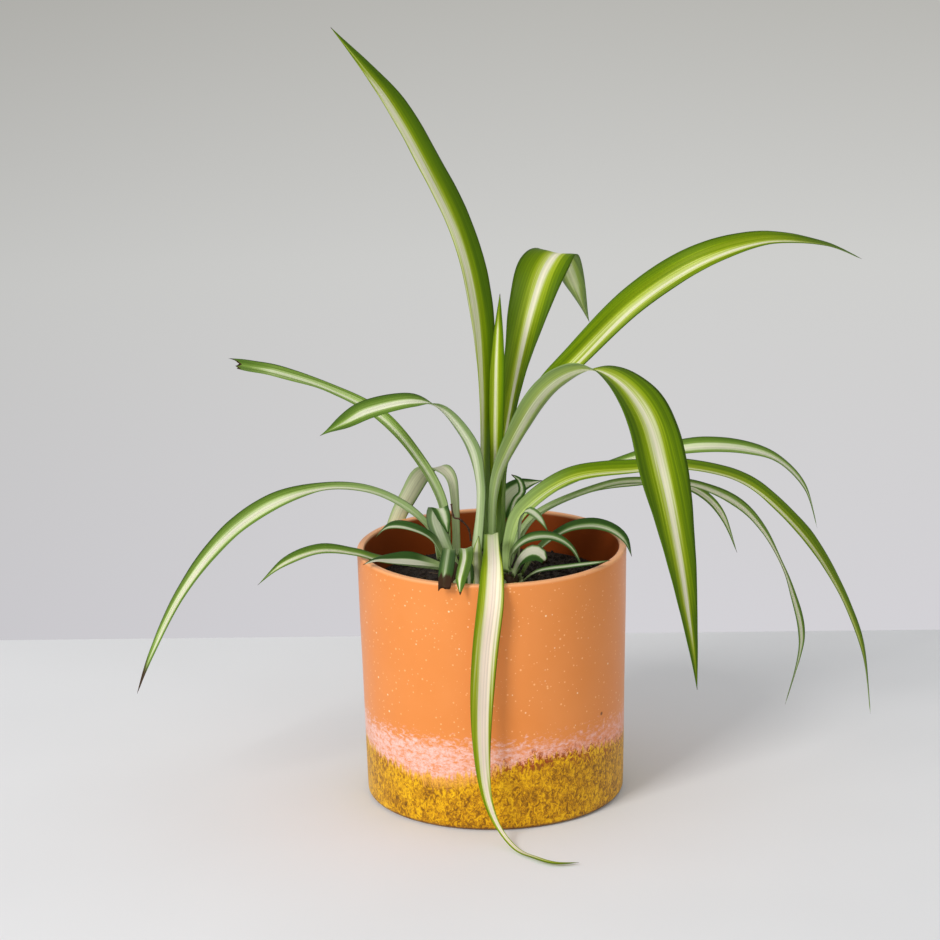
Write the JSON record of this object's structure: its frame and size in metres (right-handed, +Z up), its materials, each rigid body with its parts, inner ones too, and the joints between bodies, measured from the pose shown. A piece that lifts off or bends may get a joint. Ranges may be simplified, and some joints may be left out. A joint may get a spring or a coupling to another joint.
{
  "type": "potted spider plant",
  "caption": "Young spider plant with long arching striped leaves and short offsets, growing in soil in a straight-sided glazed pot that stands on a shelf or sill.",
  "frame": {"origin": "centre of the pot's flat underside, on the pot's axis", "axes": "+Z up; -Y is the side that the plant is looked at from, where one leaf hangs down over the rim to the surface; +X to that viewer's right"},
  "size_m": [0.3526, 0.1751, 0.3772],
  "materials": {
    "pot_glaze": "orange speckled gloss glaze, with a pink-white mottled band over a mustard foot",
    "soil": "dark moist potting soil with fine pale fibres",
    "leaf_green": "satin green blade with a cream middle stripe",
    "leaf_dark": "satin dark green blade with a pale middle stripe",
    "leaf_base": "pale green leaf bases",
    "dry_stalk": "dry dark stalk"
  },
  "bodies": {
    "root": {"pot": "pot_glaze", "soil": "soil", "crown_main": "leaf_base", "crown_left": "leaf_base", "crown_right": "leaf_base", "leaf_tall": "leaf_green", "leaf_spear": "leaf_green", "leaf_folded_back": "leaf_green", "leaf_long_right": "leaf_green", "leaf_front_right": "leaf_green", "leaf_right_arch": "leaf_green", "leaf_right_back": "leaf_green", "leaf_right_low": "leaf_green", "leaf_right_short": "leaf_green", "leaf_front_hanging": "leaf_green", "leaf_left_arch": "leaf_green", "leaf_left_torn": "leaf_green", "leaf_left_long": "leaf_green", "leaf_left_short": "leaf_green", "leaf_back_left": "leaf_green", "left_curled": "leaf_dark", "left_small_arch": "leaf_dark", "left_lying": "leaf_dark", "left_withered": "leaf_dark", "left_over_rim": "leaf_dark", "left_inner": "leaf_dark", "front_upright": "leaf_dark", "right_dark_back": "leaf_dark", "right_hooked": "leaf_dark", "right_bright_arch": "leaf_dark", "right_front_arch": "leaf_dark", "right_over_rim": "leaf_dark", "right_crumpled": "leaf_dark", "right_along_rim": "leaf_dark", "dry_stalk": "dry_stalk"}
  },
  "joints": []
}
